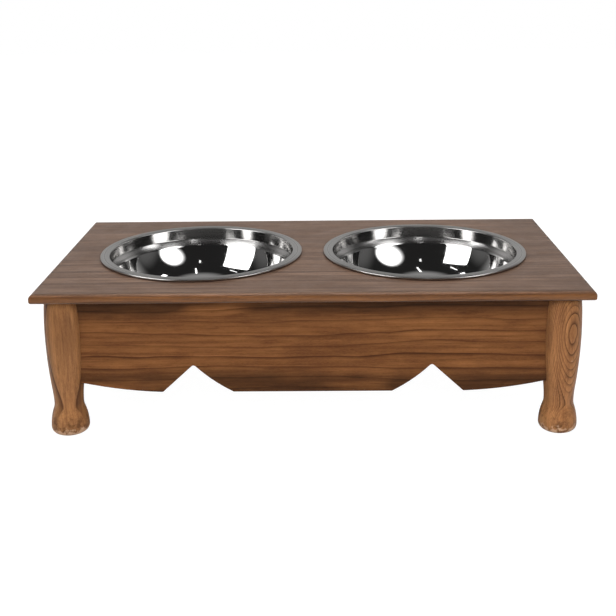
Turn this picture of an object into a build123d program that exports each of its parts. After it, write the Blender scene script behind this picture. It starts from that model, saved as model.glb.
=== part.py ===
"""A low feeder table: a thin top with two lift-out bowls, four turned legs and shaped aprons."""

import os
from math import radians, sqrt, tan

from build123d import *

os.makedirs("parts", exist_ok=True)

# ---------------------------------------------------------------- driving sizes, in millimetres
# X runs along the table, Y from front to back, Z up. The origin is on the floor, under the middle.

# Top board
top_length = 562.0
top_depth = 305.0
top_thickness = 10.0
top_upper_nose = 4.5  # radius of the edge's upper rounding
top_lower_nose = 3.0  # radius of the edge's lower rounding

# Legs, turned: the radius at each bead and waist, and how far it lies from the floor or the leg's top
leg_height = 146.0
leg_end_inset = 26.8  # leg axis to the top's ends
leg_front_inset = 24.5  # leg axis to the top's front and rear edges
leg_top_radius = 17.0
shoulder_radius = 18.5
shoulder_drop = 11.0  # below the leg's top
knee_radius = 19.5
knee_drop = 39.0  # below the leg's top
ankle_radius = 15.05
ankle_height = 32.0
foot_radius = 19.6
foot_height = 6.5
sole_radius = 13.5
shin_share = 0.8  # share of the way from knee to ankle where the outline turns from bulging to hollow
instep_share = 0.2  # share of the way from ankle to foot where it turns back

# Aprons
apron_thickness = 15.0
apron_drop = 101.3  # top's underside to the apron's lowest edge
apron_edge_round = 1.0
leg_end_rise = 10.4  # lowest edge up to the apron's end at the leg
cheek_bulge = 1.9  # how far the cheek's arc bows down from a straight line
notch_offset = 122.0  # notch point to the table's middle, long aprons
notch_rise = 30.0
notch_outer_run = 32.5
notch_inner_run = 40.5
notch_inner_bow = 2.0
notch_point_round = 3.0
notch_lip_round = 2.5
housing_floor = 12.0  # leg axis to the floor of the groove that takes an apron's end
housing_lead = 5.5  # how far the apron's end runs level before the cheek starts
housing_clearance = 0.1

# Bowls
bowl_spacing = 251.0
bowl_mouth_radius = 102.8
bowl_flange_width = 10.5
bowl_depth = 66.0
bowl_band_depth = 13.0  # upright band under the flange
bowl_step_width = 5.6
bowl_step_drop = 6.6
bowl_wall_drop = 27.5  # gently curved part of the wall, below the step
bowl_wall_lean = 16.0  # degrees off upright where it leaves the step
bowl_wall_turn = 33.0  # degrees off upright where it turns in to the floor
bowl_sheet = 0.7
bowl_curl_radius = 1.35
bowl_bend_round = 1.4
bowl_hole_clearance = 1.0
bowl_seat_clearance = 0.3

# Corner blocks, rail blocks and their fasteners
block_height = 32.0
block_reach = 48.0  # from the inner corner along each apron
block_tip = 8.0
block_leg_clearance = 0.3
rail_block_length = 70.0
rail_block_section = 16.0
bolt_radius = 3.0
bolt_in_leg = 22.0
bolt_height_in_block = 16.0  # below the top's underside
bolt_hole_clearance = 0.3
bolt_thread_clearance = 0.05
bolt_tail = 3.0
bolt_end_chamfer = 0.6
washer_radius = 6.2
washer_thickness = 1.6
nut_across_flats = 10.0
nut_thickness = 5.0
screw_radius = 2.0
screw_head_radius = 3.8
screw_head_height = 2.4
screw_point = 3.0
screw_bite_apron = 9.0
screw_bite_top = 7.0
screw_hole_clearance = 0.25
screw_thread_clearance = 0.05
screw_bore_clearance = 0.4
apron_screw_along = 40.0  # leg axis to the screw, along the apron
apron_screw_drop = 23.0  # top's underside to the screw
apron_screw_seat = 8.0  # wood left under the screw's head
top_screw_along = 17.0
top_screw_across = 30.0
top_screw_recess = 6.0
rail_screw_recess = 3.0

# ---------------------------------------------------------------- places worked out from them
top_height = leg_height + top_thickness
leg_x = top_length / 2 - leg_end_inset
leg_y = top_depth / 2 - leg_front_inset
apron_half = apron_thickness / 2
apron_bottom = leg_height - apron_drop
apron_leg_end = apron_bottom + leg_end_rise
notch_top = apron_bottom + notch_rise
bowl_hole_radius = bowl_mouth_radius + bowl_sheet + bowl_hole_clearance
rim_height = top_height + bowl_seat_clearance + 2 * bowl_curl_radius
block_bottom = leg_height - block_height
block_face = (2 * apron_half + block_reach) / sqrt(2)  # leg axis to the block's slanted face
bolt_height = leg_height - bolt_height_in_block
screw_hole_radius = screw_radius + screw_hole_clearance
screw_pilot_radius = screw_radius + screw_thread_clearance
screw_bore_radius = screw_head_radius + screw_bore_clearance
rail_screw_y = leg_y - apron_half - rail_block_section / 2

CORNERS = {
    "front_left": (-1, -1),
    "front_right": (1, -1),
    "rear_left": (-1, 1),
    "rear_right": (1, 1),
}


def write(part, name):
    """Label a finished piece and write it as its own STEP file."""
    part.label = name
    export_step(part, f"parts/{name}.step")


def corner_plane(side_x, side_y, height=0.0):
    """Level plane on a leg's axis, with its x and y directions turned in towards the table's middle."""
    flip = side_x * side_y
    return Plane(origin=(side_x * leg_x, side_y * leg_y, height), x_dir=(-side_x, 0, 0), z_dir=(0, 0, flip))


def corner_point(side_x, side_y, along_x, along_y, height):
    """A point given by its distances from a leg's axis, inwards along X and Y, and its height."""
    return (side_x * (leg_x - along_x), side_y * (leg_y - along_y), height)


# ---------------------------------------------------------------- top board
def board_section(width):
    """Section of the top across one direction, with its rounded edges."""
    Rectangle(width, top_thickness, align=(Align.CENTER, Align.MIN))
    upper = vertices().group_by(Axis.Y)[-1]
    fillet(upper, radius=top_upper_nose)
    lower = vertices().group_by(Axis.Y)[0]
    fillet(lower, radius=top_lower_nose)


def make_top_board():
    with BuildPart() as board:
        with BuildSketch(Plane.XZ.shift_origin((0, 0, leg_height))):
            board_section(top_length)
        extrude(amount=top_depth / 2, both=True)
        with BuildSketch(Plane.YZ.shift_origin((0, 0, leg_height))):
            board_section(top_depth)
        extrude(amount=top_length / 2, both=True, mode=Mode.INTERSECT)
        with BuildSketch(Plane.XY.offset(leg_height)):
            with Locations((-bowl_spacing / 2, 0), (bowl_spacing / 2, 0)):
                Circle(bowl_hole_radius)
        extrude(amount=top_thickness, mode=Mode.SUBTRACT)
        with BuildSketch(Plane.XY.offset(leg_height)):
            with Locations(*top_screw_points()):
                Circle(screw_pilot_radius)
        extrude(amount=screw_bite_top, mode=Mode.SUBTRACT)
    return board.part


def top_screw_points():
    """Plan positions of the screws that hold the top: one in each corner block and rail block."""
    points = [corner_point(sx, sy, top_screw_along, top_screw_across, 0)[:2] for sx, sy in CORNERS.values()]
    return points + [(0, -rail_screw_y), (0, rail_screw_y)]


# ---------------------------------------------------------------- legs
def make_leg(side_x, side_y):
    x, y = side_x * leg_x, side_y * leg_y
    neck = Vector(leg_top_radius, leg_height)
    shoulder = Vector(shoulder_radius, leg_height - shoulder_drop)
    knee = Vector(knee_radius, leg_height - knee_drop)
    ankle = Vector(ankle_radius, ankle_height)
    foot = Vector(foot_radius, foot_height)
    sole = Vector(sole_radius, 0)
    # An arc pair between two places with upright tangents always meets on the straight line between them.
    shin = knee + (ankle - knee) * shin_share
    instep = ankle + (foot - ankle) * instep_share
    with BuildPart() as leg:
        # The half section stands on the outer diagonal, so that the seam faces away from the joints.
        outward = Vector(side_x, side_y, 0).normalized()
        with BuildSketch(Plane(origin=(x, y, 0), x_dir=outward, z_dir=outward.cross(Vector(0, 0, 1)))):
            with BuildLine():
                # A chain of arcs runs up from the knee, and one down, each bend flowing into the next.
                for upward, places in ((1, (shoulder, neck)), (-1, (shin, ankle, instep, foot, sole))):
                    start, heading = knee, Vector(0, upward)
                    for place in places:
                        heading = TangentArc(start, place, tangent=heading) % 1
                        start = place
                Line(neck, (0, leg_height))
                Line((0, leg_height), (0, 0))
                Line((0, 0), sole)
            make_face()
        revolve(axis=Axis((x, y, 0), (0, 0, 1)))
        # Two stopped grooves, open at the top, take the ends of the aprons.
        with BuildSketch(corner_plane(side_x, side_y, leg_height)):
            with Locations((housing_floor, 0)):
                Rectangle(knee_radius, apron_thickness + 2 * housing_clearance, align=(Align.MIN, Align.CENTER))
            with Locations((0, housing_floor)):
                Rectangle(apron_thickness + 2 * housing_clearance, knee_radius, align=(Align.CENTER, Align.MIN))
        extrude(amount=leg_height - apron_leg_end, dir=(0, 0, -1), mode=Mode.SUBTRACT)
        # Bore for the hanger bolt's wood thread, on the corner's diagonal.
        with BuildSketch(bolt_plane(side_x, side_y, knee_radius)):
            Circle(bolt_radius + bolt_thread_clearance)
        extrude(amount=-bolt_in_leg, mode=Mode.SUBTRACT)
    return leg.part


def bolt_plane(side_x, side_y, distance):
    """Upright plane across the corner's diagonal, facing the table's middle, so far from the leg's axis."""
    inward = Vector(-side_x, -side_y, 0).normalized()
    origin = Vector(side_x * leg_x, side_y * leg_y, bolt_height) + inward * distance
    return Plane(origin=origin, x_dir=(0, 0, 1), z_dir=inward)


# ---------------------------------------------------------------- aprons
def apron_outline(half_length, notch_centre):
    """An apron's face: a shaped lower edge and a straight upper one, the same on both sides of the middle.

    With notch_centre at 0 a single notch stands at the middle.
    """
    lip = notch_centre + notch_outer_run
    cheek_end = half_length - housing_lead
    notch_points = (-notch_centre, notch_centre) if notch_centre else (0,)
    with BuildSketch() as outline:
        with BuildLine():
            if notch_centre:
                flat_end = notch_centre - notch_inner_run
                Line((0, apron_bottom), (flat_end, apron_bottom))
                SagittaArc((flat_end, apron_bottom), (notch_centre, notch_top), -notch_inner_bow)
            Line((notch_centre, notch_top), (lip, apron_bottom))
            SagittaArc((lip, apron_bottom), (cheek_end, apron_leg_end), -cheek_bulge)
            Line((cheek_end, apron_leg_end), (half_length, apron_leg_end))
            Line((half_length, apron_leg_end), (half_length, leg_height))
            Line((half_length, leg_height), (0, leg_height))
            mirror(about=Plane.YZ)
        make_face()
        for x in notch_points:
            fillet(vertices().sort_by_distance((x, notch_top, 0))[0], radius=notch_point_round)
        for x in (-lip, lip):
            fillet(vertices().sort_by_distance((x, apron_bottom, 0))[0], radius=notch_lip_round)
    return outline.sketch


def on_face(point):
    return abs(point.Z) > apron_half - 0.01


def below_top(point, half_length):
    return point.Y < leg_height - 0.01 and abs(point.X) < half_length - 0.01


def make_apron(plane, half_length, notch_centre, screw_offsets):
    """An apron on an upright plane through its middle thickness, whose normal points out of the table."""
    with BuildPart() as apron:
        with BuildSketch(plane):
            add(apron_outline(half_length, notch_centre))
        extrude(amount=apron_half, both=True)
        # The lower edge is eased along both faces.
        faces_edges = apron.edges().filter_by(lambda edge: on_face(plane.to_local_coords(edge.center())))
        lower = faces_edges.filter_by(lambda edge: below_top(plane.to_local_coords(edge.center()), half_length))
        fillet(lower, radius=apron_edge_round)
        with BuildSketch(plane.offset(-apron_half)):
            with Locations(*[(offset, leg_height - apron_screw_drop) for offset in screw_offsets]):
                Circle(screw_pilot_radius)
        extrude(amount=screw_bite_apron, mode=Mode.SUBTRACT)
    return apron.part


# ---------------------------------------------------------------- blocks
def make_corner_block(side_x, side_y):
    inner = apron_half
    reach = apron_half + block_reach
    tip = reach - block_tip
    with BuildPart() as block:
        with BuildSketch(corner_plane(side_x, side_y, block_bottom)):
            with BuildLine():
                Polyline(
                    (inner, inner),
                    (tip, inner),
                    (tip, inner + block_tip),
                    (inner + block_tip, tip),
                    (inner, tip),
                    close=True,
                )
            make_face()
            Circle(knee_radius + block_leg_clearance, mode=Mode.SUBTRACT)
        extrude(amount=block_height, dir=(0, 0, 1))
        # Hanger bolt, along the diagonal
        with BuildSketch(bolt_plane(side_x, side_y, 0)):
            Circle(bolt_radius + bolt_hole_clearance)
        extrude(amount=block_face + 1, mode=Mode.SUBTRACT)
        # One screw into each apron, its head in a bore from the slanted face
        for plane in apron_screw_planes(side_x, side_y):
            with BuildSketch(plane):
                Circle(screw_hole_radius)
            extrude(amount=apron_screw_seat, mode=Mode.SUBTRACT)
            with BuildSketch(plane.offset(apron_screw_seat)):
                Circle(screw_bore_radius)
            extrude(amount=block_reach, mode=Mode.SUBTRACT)
        # One screw up into the top, its head in a bore from below
        x, y, _ = corner_point(side_x, side_y, top_screw_along, top_screw_across, 0)
        with BuildSketch(Plane((x, y, block_bottom))):
            Circle(screw_hole_radius)
        extrude(amount=block_height, mode=Mode.SUBTRACT)
        with BuildSketch(Plane((x, y, block_bottom))):
            Circle(screw_bore_radius)
        extrude(amount=top_screw_recess, mode=Mode.SUBTRACT)
    return block.part


def apron_screw_planes(side_x, side_y):
    """The two planes on the aprons' inner faces at a corner's screws, facing into the table."""
    height = leg_height - apron_screw_drop
    on_long = corner_point(side_x, side_y, apron_screw_along, apron_half, height)
    on_short = corner_point(side_x, side_y, apron_half, apron_screw_along, height)
    return (
        Plane(origin=on_long, x_dir=(1, 0, 0), z_dir=(0, -side_y, 0)),
        Plane(origin=on_short, x_dir=(0, 1, 0), z_dir=(-side_x, 0, 0)),
    )


def make_rail_block(side_y):
    outer = side_y * (leg_y - apron_half)
    middle = outer - side_y * rail_block_section / 2
    bottom = leg_height - rail_block_section
    with BuildPart() as block:
        with BuildSketch(Plane((0, middle, bottom))):
            Rectangle(rail_block_length, rail_block_section)
        extrude(amount=rail_block_section)
        with BuildSketch(Plane((0, middle, bottom))):
            Circle(screw_hole_radius)
        extrude(amount=rail_block_section, mode=Mode.SUBTRACT)
        with BuildSketch(Plane((0, middle, bottom))):
            Circle(screw_bore_radius)
        extrude(amount=rail_screw_recess, mode=Mode.SUBTRACT)
    return block.part


# ---------------------------------------------------------------- fasteners
def turning_plane(seat):
    """Plane through a seat's axis: its x runs across the axis and its y along the seat's normal."""
    return Plane(origin=seat.origin, x_dir=seat.x_dir, z_dir=-seat.y_dir)


def screw_section(seat, length):
    """Half section of a wood screw: its head rests on the seat, its shank runs against the seat's normal."""
    with BuildSketch(turning_plane(seat)) as section:
        with BuildLine():
            Polyline(
                (0, screw_head_height),
                (screw_head_radius * 0.55, screw_head_height),
                (screw_head_radius, screw_head_height * 0.4),
                (screw_head_radius, 0),
                (screw_radius, 0),
                (screw_radius, screw_point - length),
                (0, -length),
                close=True,
            )
        make_face()
    return section.sketch


def bolt_section(seat, length_below, length_above):
    """Half section of a hanger bolt: a pointed wood thread below the seat, a machine thread above it."""
    with BuildSketch(turning_plane(seat)) as section:
        with BuildLine():
            Polyline(
                (0, length_above),
                (bolt_radius - bolt_end_chamfer, length_above),
                (bolt_radius, length_above - bolt_end_chamfer),
                (bolt_radius, 2 * bolt_radius - length_below),
                (0, -length_below),
                close=True,
            )
        make_face()
    return section.sketch


def turn(section, seat):
    """Revolve a half section about the seat's normal, into the part being built."""
    revolve(section, axis=Axis(seat.origin, seat.z_dir))


def make_apron_screws():
    length = apron_screw_seat + screw_bite_apron
    with BuildPart() as screws:
        for corner in CORNERS.values():
            for plane in apron_screw_planes(*corner):
                seat = plane.offset(apron_screw_seat)
                turn(screw_section(seat, length), seat)
    return screws.part


def make_top_screws():
    with BuildPart() as screws:
        for corner in CORNERS.values():
            point = corner_point(*corner, top_screw_along, top_screw_across, block_bottom + top_screw_recess)
            seat = Plane(origin=point, x_dir=(1, 0, 0), z_dir=(0, 0, -1))
            turn(screw_section(seat, block_height - top_screw_recess + screw_bite_top), seat)
        for side_y in (-1, 1):
            height = leg_height - rail_block_section + rail_screw_recess
            seat = Plane(origin=(0, side_y * rail_screw_y, height), x_dir=(1, 0, 0), z_dir=(0, 0, -1))
            turn(screw_section(seat, rail_block_section - rail_screw_recess + screw_bite_top), seat)
    return screws.part


def make_leg_bolts():
    above = washer_thickness + nut_thickness + bolt_tail
    below = block_face - knee_radius + bolt_in_leg
    with BuildPart() as bolts:
        for corner in CORNERS.values():
            seat = bolt_plane(*corner, block_face)
            turn(bolt_section(seat, below, above), seat)
    return bolts.part


def make_leg_washers():
    with BuildPart() as washers:
        for corner in CORNERS.values():
            with BuildSketch(bolt_plane(*corner, block_face)):
                Circle(washer_radius)
                Circle(bolt_radius + bolt_hole_clearance, mode=Mode.SUBTRACT)
            extrude(amount=washer_thickness)
    return washers.part


def make_leg_nuts():
    with BuildPart() as nuts:
        for corner in CORNERS.values():
            with BuildSketch(bolt_plane(*corner, block_face + washer_thickness)):
                RegularPolygon(nut_across_flats / 2, 6, major_radius=False)
                Circle(bolt_radius + bolt_thread_clearance, mode=Mode.SUBTRACT)
            extrude(amount=nut_thickness)
    return nuts.part


# ---------------------------------------------------------------- bowls
def make_bowl(centre_x):
    """A pressed bowl: flat floor, wall of two arcs, stacking step, upright band, flat flange, curled edge."""
    floor_level = bowl_sheet - bowl_depth
    step_radius = bowl_mouth_radius - bowl_step_width
    step_level = -bowl_band_depth - bowl_step_drop
    # An arc's chord has the mean direction of its two ends.
    turn_level = step_level - bowl_wall_drop
    turn_radius = step_radius - bowl_wall_drop * tan(radians((bowl_wall_lean + bowl_wall_turn) / 2))
    floor_radius = turn_radius - (turn_level - floor_level) / tan(radians((90 - bowl_wall_turn) / 2))
    curl_centre = bowl_mouth_radius + bowl_flange_width - bowl_curl_radius
    with BuildPart() as bowl:
        with BuildSketch(Plane(origin=(centre_x, 0, rim_height), x_dir=(1, 0, 0), z_dir=(0, -1, 0))):
            with BuildLine():
                Line((0, floor_level), (floor_radius, floor_level))
                turn = TangentArc((floor_radius, floor_level), (turn_radius, turn_level), tangent=(1, 0))
                TangentArc(turn @ 1, (step_radius, step_level), tangent=turn % 1)
                FilletPolyline(
                    (step_radius, step_level),
                    (bowl_mouth_radius, -bowl_band_depth),
                    (bowl_mouth_radius, 0),
                    (curl_centre, 0),
                    radius=bowl_bend_round,
                )
                TangentArc((curl_centre, 0), (curl_centre, -2 * bowl_curl_radius), tangent=(1, 0))
                offset(amount=bowl_sheet, side=Side.RIGHT, closed=True)
            make_face()
        revolve(axis=Axis((centre_x, 0, 0), (0, 0, 1)))
    return bowl.part


# ---------------------------------------------------------------- the whole table
long_half = leg_x - housing_floor
short_half = leg_y - housing_floor
long_screws = (apron_screw_along - leg_x, leg_x - apron_screw_along)
short_screws = (apron_screw_along - leg_y, leg_y - apron_screw_along)

front_plane = Plane(origin=(0, -leg_y, 0), x_dir=(1, 0, 0), z_dir=(0, -1, 0))
rear_plane = Plane(origin=(0, leg_y, 0), x_dir=(-1, 0, 0), z_dir=(0, 1, 0))
left_plane = Plane(origin=(-leg_x, 0, 0), x_dir=(0, -1, 0), z_dir=(-1, 0, 0))
right_plane = Plane(origin=(leg_x, 0, 0), x_dir=(0, 1, 0), z_dir=(1, 0, 0))

write(make_top_board(), "top_board")
write(make_apron(front_plane, long_half, notch_offset, long_screws), "front_apron")
write(make_apron(rear_plane, long_half, notch_offset, long_screws), "rear_apron")
write(make_apron(left_plane, short_half, 0, short_screws), "left_apron")
write(make_apron(right_plane, short_half, 0, short_screws), "right_apron")
for corner_name, corner in CORNERS.items():
    write(make_leg(*corner), f"leg_{corner_name}")
    write(make_corner_block(*corner), f"corner_block_{corner_name}")
write(make_rail_block(-1), "front_rail_block")
write(make_rail_block(1), "rear_rail_block")
write(make_leg_bolts(), "leg_bolts")
write(make_leg_washers(), "leg_washers")
write(make_leg_nuts(), "leg_nuts")
write(make_apron_screws(), "apron_screws")
write(make_top_screws(), "top_screws")
write(make_bowl(-bowl_spacing / 2), "bowl_left")
write(make_bowl(bowl_spacing / 2), "bowl_right")
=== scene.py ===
from math import atan2, cos, pi, radians, sin, tan

import bpy
from mathutils import Matrix, Vector


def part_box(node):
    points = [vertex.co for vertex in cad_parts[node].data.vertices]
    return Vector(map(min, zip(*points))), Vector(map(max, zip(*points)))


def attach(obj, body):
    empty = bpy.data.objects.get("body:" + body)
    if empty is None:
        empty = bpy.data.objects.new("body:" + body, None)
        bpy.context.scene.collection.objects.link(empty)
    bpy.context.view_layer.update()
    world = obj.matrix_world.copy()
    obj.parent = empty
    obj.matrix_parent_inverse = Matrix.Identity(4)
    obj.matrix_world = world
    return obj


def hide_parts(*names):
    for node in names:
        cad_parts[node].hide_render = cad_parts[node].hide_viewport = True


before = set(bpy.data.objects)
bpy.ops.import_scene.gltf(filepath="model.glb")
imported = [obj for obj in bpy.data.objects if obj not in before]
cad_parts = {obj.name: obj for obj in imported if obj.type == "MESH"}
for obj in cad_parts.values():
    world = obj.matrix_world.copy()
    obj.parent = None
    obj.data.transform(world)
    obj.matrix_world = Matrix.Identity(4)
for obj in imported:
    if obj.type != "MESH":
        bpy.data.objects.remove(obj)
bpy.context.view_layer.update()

# ---------------------------------------------------------------- sizes, in metres, read from the frame
bowl_low, bowl_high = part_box("bowl_right")
leg_low, leg_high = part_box("leg_front_right")
rim_level = bowl_high.z
bowl_centre_x = (bowl_low.x + bowl_high.x) / 2
rim_radius = (bowl_high.x - bowl_low.x) / 2
bowl_depth = bowl_high.z - bowl_low.z
leg_x = (leg_low.x + leg_high.x) / 2
leg_y = -(leg_low.y + leg_high.y) / 2

# The bowl's own sizes, inwards from the rim's edge and down from the rim's top
SHEET = 0.0007
CURL = 0.00135
FLANGE = 0.0105
BAND_DEPTH = 0.013
BAND_LEAN = 2.0  # degrees off upright
STEP_WIDTH = 0.0056
STEP_DROP = 0.0066
WALL_LEAN = 16.0  # degrees off upright just below the step
WALL_TURN = 33.0  # degrees off upright where the wall turns in to the floor
WALL_DROP = 0.0275
BEND = 0.0014
BOWL_STEPS = 192  # faces around a bowl

MM = 0.001
SEED_STEP = 137.0  # how far apart along the grain two pieces of wood are cut, in millimetres
LATE_WOOD_END = 0.93  # share of a ring's width at which its dark late wood starts to end
LATE_WOOD_CHANCE = (0.55, 1.5)  # the late wood's strength, from the weakest year to the strongest
ARRIS = 1.2 * MM
CORNER_SHADE_REACH = 14.0 * MM  # how far from an inside corner the painted shade reaches
WOOD_RELIEF = 0.12 * MM


# ---------------------------------------------------------------- node graphs
class Graph:
    """A node tree, with short calls that each add a node. A value is a number, a colour or a socket."""

    def __init__(self, tree):
        self.tree = tree

    def node(self, kind, inputs=None, **settings):
        made = self.tree.nodes.new("ShaderNode" + kind)
        for key, value in settings.items():
            setattr(made, key, value)
        for key, value in (inputs or {}).items():
            self.put(made.inputs[key], value)
        return made

    def put(self, socket, value):
        if isinstance(value, bpy.types.NodeSocket):
            self.tree.links.new(value, socket)
        else:
            socket.default_value = value

    def math(self, operation, first, second=0.0, clamp=False):
        return self.node("Math", {0: first, 1: second}, operation=operation, use_clamp=clamp).outputs[0]

    def vector(self, operation, first, second=(0.0, 0.0, 0.0)):
        made = self.node("VectorMath", {0: first, 1: second}, operation=operation)
        return made.outputs["Value" if operation in ("LENGTH", "DOT_PRODUCT") else "Vector"]

    def split(self, vector):
        return self.node("SeparateXYZ", {0: vector}).outputs

    def join(self, x, y, z):
        return self.node("CombineXYZ", {0: x, 1: y, 2: z}).outputs[0]

    def noise(self, vector, scale, detail=2.0, roughness=0.5):
        inputs = {"Vector": vector, "Scale": scale, "Detail": detail, "Roughness": roughness}
        return self.node("TexNoise", inputs).outputs["Fac"]

    def noise_line(self, place, scale, detail=2.0, roughness=0.5):
        inputs = {"W": place, "Scale": scale, "Detail": detail, "Roughness": roughness}
        return self.node("TexNoise", inputs, noise_dimensions="1D").outputs["Fac"]

    def span(self, value, low, high, to_low=0.0, to_high=1.0, smooth=False):
        """value from low..high to to_low..to_high, held at the ends."""
        inputs = {"Value": value, "From Min": low, "From Max": high, "To Min": to_low, "To Max": to_high}
        kind = "SMOOTHSTEP" if smooth else "LINEAR"
        return self.node("MapRange", inputs, clamp=True, interpolation_type=kind).outputs["Result"]

    def mix(self, factor, first, second, blend="MIX"):
        made = self.node("Mix", data_type="RGBA", blend_type=blend, clamp_factor=True)
        for index, value in ((0, factor), (6, first), (7, second)):
            self.put(made.inputs[index], value)
        return made.outputs[2]

    def bump(self, height, strength, distance, normal=None):
        inputs = {"Height": height, "Strength": strength, "Distance": distance}
        if normal is not None:
            inputs["Normal"] = normal
        return self.node("Bump", inputs).outputs["Normal"]


def new_material(name):
    material = bpy.data.materials.new(name)
    material.use_nodes = True
    graph = Graph(material.node_tree)
    return material, graph, material.node_tree.nodes["Principled BSDF"]


def colour(red, green, blue):
    return (red, green, blue, 1.0)


# ---------------------------------------------------------------- wood
BARE_WOOD = colour(0.60, 0.40, 0.25)
# Darker heartwood, and partly painted shadow along the aprons' top edge
HEARTWOOD_AND_SHADE = colour(0.36, 0.36, 0.38)  # multiplies the colour


def wood_material(
    name,
    light,
    dark,
    line,
    pith,
    grain_turn,
    ring=3.0,
    wave=3.0,
    line_strength=0.8,
    tone=0.35,
    streak=0.3,
    coat=0.0,
    rough=0.42,
    gloss=0.25,
    late_wood=4.0,
    mottle=0.0,
    pale=None,
    swell=None,
    worn=None,
    edge_shade_tone=None,
    seed=0.0,
):
    """A sawn or turned piece of one log: growth rings about a pith, in the piece's own grain frame.

    pith is a point in metres on the log's middle line; grain_turn lays X along that line. Other lengths are
    in millimetres:
    ring, wave -- the rings' spacing, and how far they wander
    pale -- a paler band of rings: its middle and half width, from the pith, and a shift of the dark patches
    beside it; on the aprons the patches along the top edge are partly painted shadow under the top's
    overhang swell -- the height, amount and length of a bulge in an upright log
    worn -- the height up to which a foot is rubbed
    late_wood is how sharply a ring darkens towards its end. The edge tone multiplies the colour of a
    board's edges, the faces that don't look up, as painted shade. The other numbers are strengths from 0 to
    about 1.
    """
    material, g, surface = new_material(name)
    place = g.node("TexCoord").outputs["Object"]
    # Millimetres in the grain frame: X along the grain, Y and Z across it.
    inputs = {"Vector": place, "Location": pith, "Rotation": grain_turn, "Scale": (MM, MM, MM)}
    grain = g.node("Mapping", inputs, vector_type="TEXTURE").outputs[0]
    grain = g.vector("ADD", grain, (SEED_STEP * seed, 0.0, 0.0))
    _, across, deep = g.split(grain)

    # Slow wander of the whole log, and a quicker one ring by ring
    slow = g.noise(g.vector("MULTIPLY", grain, (0.25, 1.0, 1.0)), 0.018, 2.0)
    quick = g.noise(g.vector("MULTIPLY", grain, (0.12, 1.0, 1.0)), 0.10, 2.0)
    radius = g.vector("LENGTH", g.join(0.0, across, deep))
    radius = g.math("ADD", radius, g.math("MULTIPLY", g.math("SUBTRACT", slow, 0.5), 4.0 * wave))
    radius = g.math("ADD", radius, g.math("MULTIPLY", g.math("SUBTRACT", quick, 0.5), wave))
    if swell:
        # The log bulges at one height, so the rings close into ovals there.
        swell_height, swell_amount, swell_length = swell
        above = g.math("SUBTRACT", g.split(place)[2], swell_height * MM)
        above = g.math("DIVIDE", above, swell_length * MM)
        bell = g.math("EXPONENT", g.math("MULTIPLY", g.math("MULTIPLY", above, above), -1.0))
        radius = g.math("ADD", radius, g.math("MULTIPLY", bell, swell_amount))
    rings = g.math("DIVIDE", radius, ring)
    part = g.math("FRACT", rings)
    number = g.math("FLOOR", rings)
    year = g.math("ADD", number, seed)
    chance = g.node("TexWhiteNoise", {"W": year}, noise_dimensions="1D").outputs["Value"]
    # The late wood darkens slowly, ends sharply, and is stronger in some years than in others.
    rise = g.math("POWER", part, late_wood)
    fall = g.span(part, LATE_WOOD_END, 1.0, 1.0, 0.0, smooth=True)
    strength = g.span(chance, 0.0, 1.0, *LATE_WOOD_CHANCE)
    late = g.math("MULTIPLY", g.math("MULTIPLY", rise, fall), strength)
    if worn:
        # Scuffs and stain hide the rings on the foot.
        foot_height = g.split(place)[2]
        late = g.math("MULTIPLY", late, g.span(foot_height, 1.3 * worn * MM, 2.4 * worn * MM, 0.2, 1.0))

    # Fibres: long streaks at three widths
    fibre_wide = g.noise(g.vector("MULTIPLY", grain, (0.02, 1.0, 1.0)), 0.22, 3.0, 0.6)
    fibre_fine = g.noise(g.vector("MULTIPLY", grain, (0.03, 1.0, 1.0)), 1.1, 4.0, 0.65)
    hair = g.noise(g.vector("MULTIPLY", grain, (0.06, 1.0, 1.0)), 4.2, 2.0, 0.6)
    # Pores: short dark dashes
    pores = g.noise(g.vector("MULTIPLY", grain, (0.10, 1.0, 1.0)), 2.4, 1.0, 0.4)
    pores = g.span(pores, 0.62, 0.74)
    # Cloudy tone over the piece
    cloud = g.noise(g.vector("MULTIPLY", grain, (0.35, 1.0, 1.0)), 0.012, 3.0, 0.55)

    body = g.mix(g.span(cloud, 0.32, 0.68, 0.5 - tone, 0.5 + tone), dark, light)
    if mottle:
        # Short blotches, where the fibres dip in and out of the cut
        blotch = g.noise(g.vector("MULTIPLY", grain, (0.22, 1.0, 1.0)), 0.11, 3.0, 0.6)
        body = g.mix(g.span(blotch, 0.52, 0.70, 0.0, mottle), body, light)
        body = g.mix(g.span(blotch, 0.30, 0.48, mottle, 0.0), body, dark)
    deeper = g.mix(0.5, dark, line)
    body = g.mix(g.math("MULTIPLY", g.span(fibre_wide, 0.40, 0.66), streak), body, deeper)
    body = g.mix(g.math("MULTIPLY", g.span(fibre_fine, 0.45, 0.72), streak * 0.8), body, line)
    body = g.mix(g.math("MULTIPLY", g.span(hair, 0.35, 0.55, 1.0, 0.0), streak * 0.5), body, light)
    body = g.mix(g.math("MULTIPLY", late, line_strength, clamp=True), body, line)
    body = g.mix(g.math("MULTIPLY", pores, 0.35), body, line)
    if pale:
        # Darker heartwood on both sides of the pale band, in patches; on the aprons the patches along the
        # top edge are partly painted shadow under the top's overhang
        band_middle, band_half, patch_shift = pale
        off_band = g.math("ABSOLUTE", g.math("SUBTRACT", radius, band_middle))
        patch_place = g.vector("ADD", grain, (patch_shift, 0.0, 0.0))
        patch_place = g.vector("MULTIPLY", patch_place, (0.25, 1.0, 1.0))
        patchy = g.span(g.noise(patch_place, 0.03, 2.0), 0.31, 0.47)
        heart_and_shade = g.math("MULTIPLY", g.span(off_band, 0.5 * band_half, band_half, smooth=True), patchy)
        body = g.mix(heart_and_shade, body, HEARTWOOD_AND_SHADE, "MULTIPLY")

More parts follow.
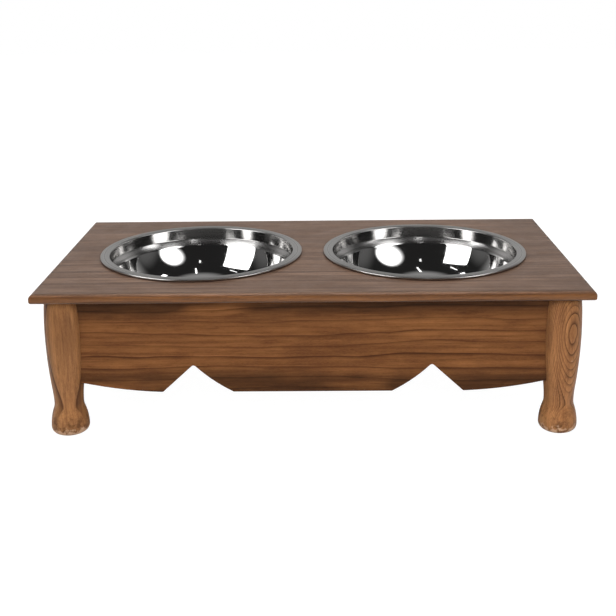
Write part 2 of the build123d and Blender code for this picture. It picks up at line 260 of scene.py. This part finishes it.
    # Painted shade: the arrises are painted a little darker, as the dark outline of shade along the rounded
    # edges.
    edge_normal = g.node("Bevel", {"Radius": ARRIS}, samples=4).outputs[0]
    flat_normal = g.node("NewGeometry").outputs["Normal"]
    edge = g.span(g.vector("DOT_PRODUCT", edge_normal, flat_normal), 0.80, 0.985, 1.0, 0.0)
    body = g.mix(g.math("MULTIPLY", edge, 0.45), body, line)

    # Painted shade: darker in the inside corners, under the top's overhang and beside the legs, from the
    # ambient occlusion.
    open_air = g.node("AmbientOcclusion", {"Distance": CORNER_SHADE_REACH}, samples=6).outputs["AO"]
    body = g.mix(g.span(open_air, 0.25, 0.9, 0.8, 0.0), body, line)

    if worn:
        # Dark stains around the foot
        stains = g.span(g.noise(place, 130.0, 3.0, 0.6), 0.50, 0.62, 0.0, 0.6)
        around = g.span(foot_height, worn * MM, 2.2 * worn * MM, 1.0, 0.0)
        body = g.mix(g.math("MULTIPLY", stains, around), body, line)
        # The stain is rubbed through low on the foot.
        scuffs = g.noise(place, 190.0, 3.0, 0.6)
        low = g.span(foot_height, 0.25 * worn * MM, worn * MM, 0.22, -0.12)
        body = g.mix(g.span(g.math("ADD", scuffs, low), 0.58, 0.72, 0.0, 0.6), body, BARE_WOOD)

    if edge_shade_tone:
        # Painted shade: a board's faces that don't look up, such as its moulded edges, are painted warmer
        # and darker than its top face.
        upward = g.math("ABSOLUTE", g.split(flat_normal)[2])
        body = g.mix(g.span(upward, 0.45, 0.97, 1.0, 0.0), body, edge_shade_tone, "MULTIPLY")

    # End grain drinks more stain.
    turned = {"Vector": flat_normal, "Rotation": grain_turn}
    turned = g.node("Mapping", turned, vector_type="TEXTURE").outputs[0]
    end = g.math("POWER", g.math("ABSOLUTE", g.split(turned)[0]), 3.0)
    body = g.mix(g.math("MULTIPLY", end, 0.5), body, dark)

    rubbed = g.noise(place, 38.0, 3.0, 0.6)
    sheen = g.span(rubbed, 0.3, 0.7, rough - 0.07, rough + 0.09)
    sheen = g.math("ADD", sheen, g.math("MULTIPLY", pores, 0.12))
    height = g.math("SUBTRACT", g.math("MULTIPLY", hair, 0.3), g.math("MULTIPLY", pores, 1.0))
    height = g.math("ADD", height, g.math("MULTIPLY", fibre_fine, 0.35))
    height = g.math("SUBTRACT", height, g.math("MULTIPLY", late, 0.25))
    g.put(surface.inputs["Base Color"], body)
    g.put(surface.inputs["Roughness"], sheen)
    g.put(surface.inputs["Normal"], g.bump(height, 0.35, WOOD_RELIEF))
    surface.inputs["Specular IOR Level"].default_value = gloss
    surface.inputs["Coat Weight"].default_value = coat
    surface.inputs["Coat Roughness"].default_value = 0.3
    return material


# ---------------------------------------------------------------- steel
def bowl_material():
    """Stainless sheet: spun lines on the flange, band and step, a polished well."""
    material, g, surface = new_material("spun_steel")
    place = g.node("TexCoord").outputs["Object"]
    x, y, z = g.split(place)
    # Both bowls share it, so the distance is taken from the nearer bowl's axis.
    from_axis = g.math("SUBTRACT", g.math("ABSOLUTE", x), bowl_centre_x)
    radius = g.vector("LENGTH", g.join(from_axis, y, 0.0))
    down = g.math("SUBTRACT", rim_level, z)
    well_line = BAND_DEPTH + STEP_DROP
    brushed = g.span(down, well_line - 0.4 * MM, well_line + 0.4 * MM, 1.0, 0.0)
    inner = g.span(radius, 0.6 * rim_radius, rim_radius, 0.6, 1.0)

    # Lines turned on the lathe, by distance along the section
    run = g.math("SUBTRACT", radius, z)
    coarse = g.noise_line(run, 900.0, 2.0, 0.7)
    fine = g.noise_line(run, 5200.0, 3.0, 0.7)
    lines = g.math("ADD", g.math("MULTIPLY", coarse, 0.6), g.math("MULTIPLY", fine, 0.4))
    flat = g.span(down, 0.6 * MM, 1.6 * MM, 1.0, 0.0)
    # Slow dents of pressed sheet, and faint wipes
    dents = g.noise(place, 26.0, 1.0, 0.4)
    wipes = g.noise(g.vector("MULTIPLY", place, (1.0, 1.0, 3.0)), 60.0, 4.0, 0.65)

    tone = g.mix(g.span(lines, 0.35, 0.65), colour(0.36, 0.35, 0.34), colour(0.76, 0.75, 0.74))
    tone = g.mix(g.math("MULTIPLY", brushed, inner), colour(0.72, 0.715, 0.71), tone)
    smooth = g.span(wipes, 0.3, 0.75, 0.03, 0.08)
    spun = g.mix(flat, g.span(lines, 0.3, 0.7, 0.09, 0.15), g.span(lines, 0.3, 0.7, 0.24, 0.38))
    step = g.span(down, BAND_DEPTH - 0.5 * MM, BAND_DEPTH + 0.5 * MM, 0.0, 0.12)
    spun = g.math("ADD", spun, step)
    g.put(surface.inputs["Base Color"], tone)
    surface.inputs["Metallic"].default_value = 1.0
    rougher = g.math("MULTIPLY", brushed, g.math("SUBTRACT", spun, smooth))
    g.put(surface.inputs["Roughness"], g.math("ADD", smooth, rougher))
    g.put(surface.inputs["Anisotropic"], g.math("MULTIPLY", brushed, 0.6))
    tangent = g.node("Tangent", direction_type="RADIAL", axis="Z").outputs[0]
    surface.inputs["Anisotropic Rotation"].default_value = 0.25
    g.put(surface.inputs["Tangent"], tangent)
    dented = g.bump(dents, 0.25, 0.5 * MM)
    g.put(surface.inputs["Normal"], g.bump(g.math("MULTIPLY", lines, brushed), 0.25, 0.05 * MM, dented))
    return material


def fastener_material():
    """Bright zinc plate with a faint blue-yellow cast and handling marks."""
    material, g, surface = new_material("zinc_plate")
    place = g.node("TexCoord").outputs["Object"]
    cast = g.noise(place, 150.0, 2.0)
    marks = g.noise(place, 900.0, 4.0, 0.7)
    tone = g.mix(g.span(cast, 0.35, 0.65), colour(0.60, 0.58, 0.50), colour(0.52, 0.55, 0.60))
    g.put(surface.inputs["Base Color"], g.mix(g.span(marks, 0.6, 0.8), tone, colour(0.30, 0.29, 0.27)))
    surface.inputs["Metallic"].default_value = 1.0
    g.put(surface.inputs["Roughness"], g.span(marks, 0.3, 0.8, 0.28, 0.5))
    g.put(surface.inputs["Normal"], g.bump(marks, 0.3, 0.05 * MM))
    return material


# ---------------------------------------------------------------- meshes
def arc(centre, radius, start, end, steps):
    """Points on an arc in the section plane, from one angle to the other, in degrees."""
    turns = [radians(start + (end - start) * step / steps) for step in range(steps + 1)]
    return [(centre[0] + radius * cos(turn), centre[1] + radius * sin(turn)) for turn in turns]


def bowl_section():
    """The bowl's food side from the floor's middle to the curl's end: (radius, height over the rim)."""
    mouth = rim_radius - FLANGE
    floor = SHEET - bowl_depth
    step_radius, step_level = mouth - STEP_WIDTH, -BAND_DEPTH - STEP_DROP
    # The wall comes down from the step on a wide arc and turns in to the floor on a tighter one.
    turn_level = step_level - WALL_DROP
    wall_lean, wall_turn = radians(WALL_LEAN), radians(WALL_TURN)
    wide = WALL_DROP / (sin(wall_turn) - sin(wall_lean))
    wide_centre = (step_radius - wide * cos(wall_lean), step_level + wide * sin(wall_lean))
    tight = (turn_level - floor) / (1 - sin(wall_turn))
    tight_centre = (wide_centre[0] + (wide - tight) * cos(wall_turn), floor + tight)
    step_lean = atan2(STEP_WIDTH, STEP_DROP) * 180 / pi
    points = [(0.0, floor), (tight_centre[0] * 0.5, floor)]
    points += arc(tight_centre, tight, -90, -WALL_TURN, 24)
    points += arc(wide_centre, wide, -WALL_TURN, -WALL_LEAN, 16)[1:]
    # The band leans in a little, along a line that touches both bends.
    low = -BAND_DEPTH + BEND * sin(radians(step_lean / 2))
    band_lean = radians(BAND_LEAN)
    inward = BEND * (1 - 2 * cos(band_lean)) + (low + BEND) * tan(band_lean)
    points += arc((mouth + inward, low), BEND, -step_lean, -BAND_LEAN, 4)
    points += arc((mouth + BEND, -BEND), BEND, 180 + BAND_LEAN, 90, 8)
    points += arc((rim_radius - CURL, -CURL), CURL, 90, -90, 14)
    return points


def spin(name, section, centre, steps):
    """A section of (radius, height) points, turned about the upright line through centre."""
    vertices, faces, rows = [], [], []
    for radius, height in section:
        if radius < 1e-7:
            rows.append([len(vertices)] * steps)
            vertices.append((centre[0], centre[1], centre[2] + height))
            continue
        rows.append([len(vertices) + step for step in range(steps)])
        for step in range(steps):
            turn = 2 * pi * step / steps
            x, y = centre[0] + radius * cos(turn), centre[1] + radius * sin(turn)
            vertices.append((x, y, centre[2] + height))
    for inner, outer in zip(rows, rows[1:]):
        for step in range(steps):
            after = (step + 1) % steps
            corners = [inner[step], outer[step], outer[after], inner[after]]
            faces.append(list(dict.fromkeys(corners)))
    mesh = bpy.data.meshes.new(name)
    mesh.from_pydata(vertices, [], faces)
    mesh.validate()
    mesh.shade_smooth()
    made = bpy.data.objects.new(name, mesh)
    bpy.context.scene.collection.objects.link(made)
    return made


def bowl_mesh(name, centre_x):
    food_side = bowl_section()
    under_side = []
    for index, (radius, height) in enumerate(food_side):
        before = Vector(food_side[max(index - 1, 0)])
        after = Vector(food_side[min(index + 1, len(food_side) - 1)])
        way = (after - before).normalized()
        offset = Vector((way.y, -way.x)) * SHEET
        under_side.append((max(radius + offset.x, 0.0) if index else 0.0, height + offset.y))
    return spin(name, food_side + under_side[::-1], (centre_x, 0.0, rim_level), BOWL_STEPS)


# ---------------------------------------------------------------- the table's wood
along_x = (0.0, 0.0, 0.0)
along_y = (0.0, 0.0, pi / 2)
upright = (0.0, -pi / 2, 0.0)

# The top's light and dark colours are partly painted sheen: greyer than its stain, for the grey sheen its
# face shows at low angles.
top_wood = wood_material(
    "top_wood",
    light=colour(0.168, 0.103, 0.069),
    dark=colour(0.080, 0.048, 0.032),
    line=colour(0.024, 0.011, 0.007),
    pith=(0.0, -0.40, -0.30),
    grain_turn=along_x,
    ring=5.5,
    wave=3.0,
    line_strength=0.7,
    streak=0.85,
    coat=0.25,
    gloss=0.2,
    mottle=0.6,
    # Painted shade: the board's edges darker and warmer than its top
    edge_shade_tone=colour(1.28, 0.80, 0.30),
    seed=1.0,
)
apron_finish = {
    "pith": (0.0, 0.0, -0.40),
    "light": colour(0.270, 0.109, 0.035),
    "dark": colour(0.115, 0.041, 0.014),
    "line": colour(0.022, 0.007, 0.002),
    "ring": 12.0,
    "wave": 4.5,
    "line_strength": 1.05,
    "late_wood": 8.0,
    "tone": 0.35,
    "streak": 0.55,
    "mottle": 0.7,
    "gloss": 0.06,
}
# The dark patches beside the pale band, along the aprons' top edge, are partly painted shadow under the
# top's overhang
long_apron_wood = wood_material(
    "long_apron_wood", grain_turn=along_x, pale=(515.0, 38.0, 300.0), seed=2.0, **apron_finish
)
short_apron_wood = wood_material(
    "short_apron_wood", grain_turn=along_y, pale=(550.0, 42.0, 0.0), seed=3.0, **apron_finish
)

# Each leg: its corner, the way its ring ovals face (degrees from the front towards +X), how far behind the
# leg's axis the pith lies that way, then ring, swell, shade and seed
leg_logs = {
    "leg_front_left": ((-1, -1), 16.0, 69.2, 12.0, (110.0, 4.8, 50.0), 0.86, 4.0),
    "leg_front_right": ((1, -1), 23.0, 74.6, 1.2, (110.0, 3.4, 36.0), 1.06, 5.0),
    "leg_rear_left": ((-1, 1), 160.0, 75.0, 2.2, (100.0, 3.0, 30.0), 1.0, 6.0),
    "leg_rear_right": ((1, 1), 230.0, 75.0, 1.8, (85.0, 2.5, 26.0), 0.92, 7.0),
}
leg_woods = {}
for leg_name, ((side_x, side_y), facing, pith_depth, ring, swell, shade, seed) in leg_logs.items():
    toward = Vector((sin(radians(facing)), -cos(radians(facing)), 0.0))
    pith = Vector((side_x * leg_x, side_y * leg_y, 0.0)) - toward * pith_depth * MM
    leg_woods[leg_name] = wood_material(
        leg_name + "_wood",
        light=colour(0.46 * shade, 0.215 * shade, 0.080 * shade),
        dark=colour(0.25 * shade, 0.103 * shade, 0.037 * shade),
        line=colour(0.055, 0.019, 0.007),
        pith=pith,
        grain_turn=upright,
        ring=ring,
        wave=0.8,
        line_strength=1.0,
        tone=0.45,
        streak=0.7,
        mottle=0.6,
        gloss=0.12,
        swell=swell,
        worn=14.0,
        seed=seed,
    )
block_wood = wood_material(
    "block_wood",
    light=colour(0.52, 0.36, 0.20),
    dark=colour(0.42, 0.27, 0.14),
    line=colour(0.26, 0.15, 0.07),
    pith=(0.0, 0.03, -0.06),
    grain_turn=along_x,
    ring=2.4,
    wave=1.5,
    rough=0.62,
    seed=8.0,
)
steel = bowl_material()
zinc = fastener_material()

finishes = {"top_board": top_wood, "front_apron": long_apron_wood, "rear_apron": long_apron_wood}
finishes |= {"left_apron": short_apron_wood, "right_apron": short_apron_wood}
finishes |= leg_woods
for node_name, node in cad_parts.items():
    if "block" in node_name:
        finishes[node_name] = block_wood
    elif node_name.endswith(("bolts", "washers", "nuts", "screws")):
        finishes[node_name] = zinc
    elif node_name.startswith("bowl"):
        finishes[node_name] = steel
    for material_slot in node.material_slots:
        material_slot.material = finishes[node_name]

for node_name, centre_x in (("bowl_left", -bowl_centre_x), ("bowl_right", bowl_centre_x)):
    bowl = bowl_mesh("spun_" + node_name, centre_x)
    bowl.data.materials.append(steel)
    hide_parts(node_name)
    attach(bowl, node_name)


# ---------------------------------------------------------------- stage: floor, room and lights
def staged(made, material):
    made.data.materials.append(material)
    return made


def floor_material():
    """White paper: mostly its own white to the camera, so that only the shadow shows on it."""
    material, g, surface = new_material("paper_floor")
    rays = g.node("LightPath").outputs
    grain = g.noise(g.node("TexCoord").outputs["Object"], 900.0, 3.0)
    surface.inputs["Base Color"].default_value = colour(0.80, 0.80, 0.80)
    surface.inputs["Roughness"].default_value = 0.9
    surface.inputs["Specular IOR Level"].default_value = 0.0
    g.put(surface.inputs["Normal"], g.bump(grain, 0.02, 0.02 * MM))
    away = g.vector("LENGTH", g.node("TexCoord").outputs["Object"])
    glow = g.node("Emission", {"Strength": 1.16}).outputs[0]
    seen = g.math("MULTIPLY", rays["Is Camera Ray"], g.span(away, 0.45, 0.9, 0.85, 1.0, smooth=True))
    both = g.node("MixShader", {0: seen, 1: surface.outputs[0], 2: glow}).outputs[0]
    # Clear from below, so that the table's underside can be looked at
    under = g.node("NewGeometry").outputs["Backfacing"]
    clear = g.node("BsdfTransparent").outputs[0]
    one_sided = g.node("MixShader", {0: under, 1: both, 2: clear}).outputs[0]
    g.put(material.node_tree.nodes["Material Output"].inputs["Surface"], one_sided)
    return material


def room_material():
    """The dark room that polished metal mirrors: a white backdrop low behind, and a dim ceiling."""
    material, g, surface = new_material("room_dark")
    way = g.vector("NORMALIZE", g.node("TexCoord").outputs["Object"])
    x, y, z = g.split(way)
    behind = g.span(y, 0.15, 0.65, smooth=True)
    low = g.span(z, 0.35, 0.75, 1.0, 0.0, smooth=True)
    backdrop = g.math("MULTIPLY", g.math("MULTIPLY", behind, low), 0.42)
    beside = g.math("MULTIPLY", g.span(g.math("ABSOLUTE", x), 0.85, 0.97, smooth=True), 0.10)
    overhead = g.math("MULTIPLY", g.span(z, 0.88, 0.985, smooth=True), 0.30)
    strength = g.math("ADD", g.math("MAXIMUM", g.math("MAXIMUM", backdrop, beside), overhead), 0.018)
    glow = g.node("Emission", {"Color": colour(1.0, 0.99, 0.98), "Strength": strength}).outputs[0]
    g.put(material.node_tree.nodes["Material Output"].inputs["Surface"], glow)
    return material


PAPER_HALF = 5.0
PAPER_LEVEL = -0.2 * MM  # just under the feet, so that the soles and the paper aren't one plane
paper_corners = [
    (PAPER_HALF * side_x, PAPER_HALF * side_y, PAPER_LEVEL)
    for side_x, side_y in ((-1, -1), (1, -1), (1, 1), (-1, 1))
]
floor_mesh = bpy.data.meshes.new("paper_floor")
floor_mesh.from_pydata(paper_corners, [], [(0, 1, 2, 3)])
floor = bpy.data.objects.new("paper_floor", floor_mesh)
bpy.context.scene.collection.objects.link(floor)
staged(floor, floor_material())

ROOM_RADIUS = 3.0
ROOM_STEPS = 64
dome_section = arc((0.0, 0.0), ROOM_RADIUS, 0.0, 90.0, 24)
room = staged(spin("dark_room", dome_section, (0.0, 0.0, 0.0), ROOM_STEPS), room_material())
room.visible_camera = False
room.visible_diffuse = False
room.visible_transmission = False
room.visible_shadow = False

AMBIENT = 0.07  # the world's light on the object; the camera and mirrors see it as white

world = bpy.data.worlds.new("studio")
bpy.context.scene.world = world
world.use_nodes = True
sky = Graph(world.node_tree)
rays = sky.node("LightPath").outputs
plain = sky.math("MAXIMUM", rays["Is Camera Ray"], rays["Is Glossy Ray"])
plain = sky.math("MAXIMUM", plain, rays["Is Transmission Ray"])
background = world.node_tree.nodes["Background"]
background.inputs["Color"].default_value = colour(1.0, 1.0, 1.0)
sky.put(background.inputs["Strength"], sky.span(plain, 0.0, 1.0, AMBIENT, 1.0))

TARGET = Vector((0.0, 0.0, 0.13))  # the lights face this place, near the middle of the bowls


def bearing(azimuth, elevation, distance):
    """A place seen from the table, its azimuth turned from the front towards +X."""
    flat = cos(radians(elevation))
    way = Vector((sin(radians(azimuth)) * flat, -cos(radians(azimuth)) * flat, sin(radians(elevation))))
    return TARGET + way * distance


def softbox(name, place, size, radiance, facing=None, soft_edge=None):
    """A soft light of a width and height, in metres. It faces the table, or the way given.

    soft_edge is how far out from its middle, as a part of its width, it starts to fade.
    """
    light = bpy.data.lights.new(name, "AREA")
    light.shape = "RECTANGLE"
    light.size, light.size_y = size
    light.energy = radiance * pi * size[0] * size[1]
    if soft_edge is not None:
        light.use_nodes = True
        g = Graph(light.node_tree)
        across = g.vector("SUBTRACT", g.node("NewGeometry").outputs["Parametric"], (0.5, 0.5, 0.0))
        u, v, _ = g.split(across)
        out = g.vector("LENGTH", g.join(u, v, 0.0))
        fade = g.span(out, soft_edge, 0.50, 1.0, 0.0, smooth=True)
        g.put(light.node_tree.nodes["Emission"].inputs["Strength"], fade)
    made = bpy.data.objects.new(name, light)
    bpy.context.scene.collection.objects.link(made)
    made.location = place
    away = -facing if facing else place - TARGET
    made.rotation_euler = away.to_track_quat("Z", "Y").to_euler()
    return made


# Lights that the bowls mirror: a big box either side of the camera, three small lamps, a box at each end
BOX_LEFT = Vector((-1.38, -0.80, 0.95))
BOX_LEFT_FACING = Vector((0.559, 0.829, -0.28))
BOX_RIGHT = Vector((1.51, -1.03, 1.07))
BOX_RIGHT_FACING = Vector((-0.327, 0.945, 0.0))
for mirrored in (
    softbox("light_left", BOX_LEFT, (1.29, 0.83), 4.0, BOX_LEFT_FACING),
    softbox("light_right", BOX_RIGHT, (1.72, 1.25), 5.0, BOX_RIGHT_FACING, soft_edge=0.20),
    softbox("strip_overhead", bearing(14.0, 60.0, 1.5), (0.045, 0.45), 4.0),
    softbox("strip_left", bearing(-62.0, 46.0, 1.6), (0.32, 0.035), 3.0),
    softbox("lamp_ahead", bearing(5.5, 41.5, 1.6), (0.053, 0.096), 2.5),
    softbox("side_left", bearing(-99.0, 48.0, 1.8), (0.60, 0.24), 4.5),
    softbox("side_right", bearing(97.0, 48.0, 1.8), (0.60, 0.24), 4.5),
):
    mirrored.visible_diffuse = False
# The soft lights that shade the wood: overhead, ahead, and two fainter ones behind
for shading in (
    softbox("light_overhead", bearing(-6.0, 80.0, 1.5), (0.8, 0.7), 19.2),
    softbox("light_front", bearing(2.0, 32.0, 1.4), (0.8, 0.7), 6.7),
    softbox("light_rear_left", bearing(-150.0, 28.0, 1.6), (0.7, 0.7), 3.4),
    softbox("light_rear_right", bearing(150.0, 28.0, 1.6), (0.7, 0.7), 3.4),
):
    shading.visible_glossy = False

# ---------------------------------------------------------------- camera
PICTURE = 616.0  # pixels on a side
FOCAL = 1003.0  # pixels
PITCH, YAW, ROLL = radians(14.35), radians(0.86), radians(-0.67)
EYE = Vector((0.0114, -1.0944, 0.4616))
MIDDLE_DROP = 78.0  # pixels from the optical axis down to the picture's middle

ahead = Vector((-sin(YAW) * cos(PITCH), cos(YAW) * cos(PITCH), -sin(PITCH)))
level_right = Vector((cos(YAW), sin(YAW), 0.0))
level_up = level_right.cross(ahead)
right = level_right * cos(ROLL) + level_up * sin(ROLL)
up = level_up * cos(ROLL) - level_right * sin(ROLL)

camera_data = bpy.data.cameras.new("camera")
camera_data.sensor_width = 36.0
camera_data.lens = FOCAL * camera_data.sensor_width / PICTURE
camera_data.shift_y = -MIDDLE_DROP / PICTURE
camera = bpy.data.objects.new("camera", camera_data)
bpy.context.scene.collection.objects.link(camera)
camera.matrix_world = Matrix.Translation(EYE) @ Matrix((right, up, -ahead)).transposed().to_4x4()
bpy.context.scene.camera = camera
bpy.context.scene.view_settings.view_transform = "Standard"
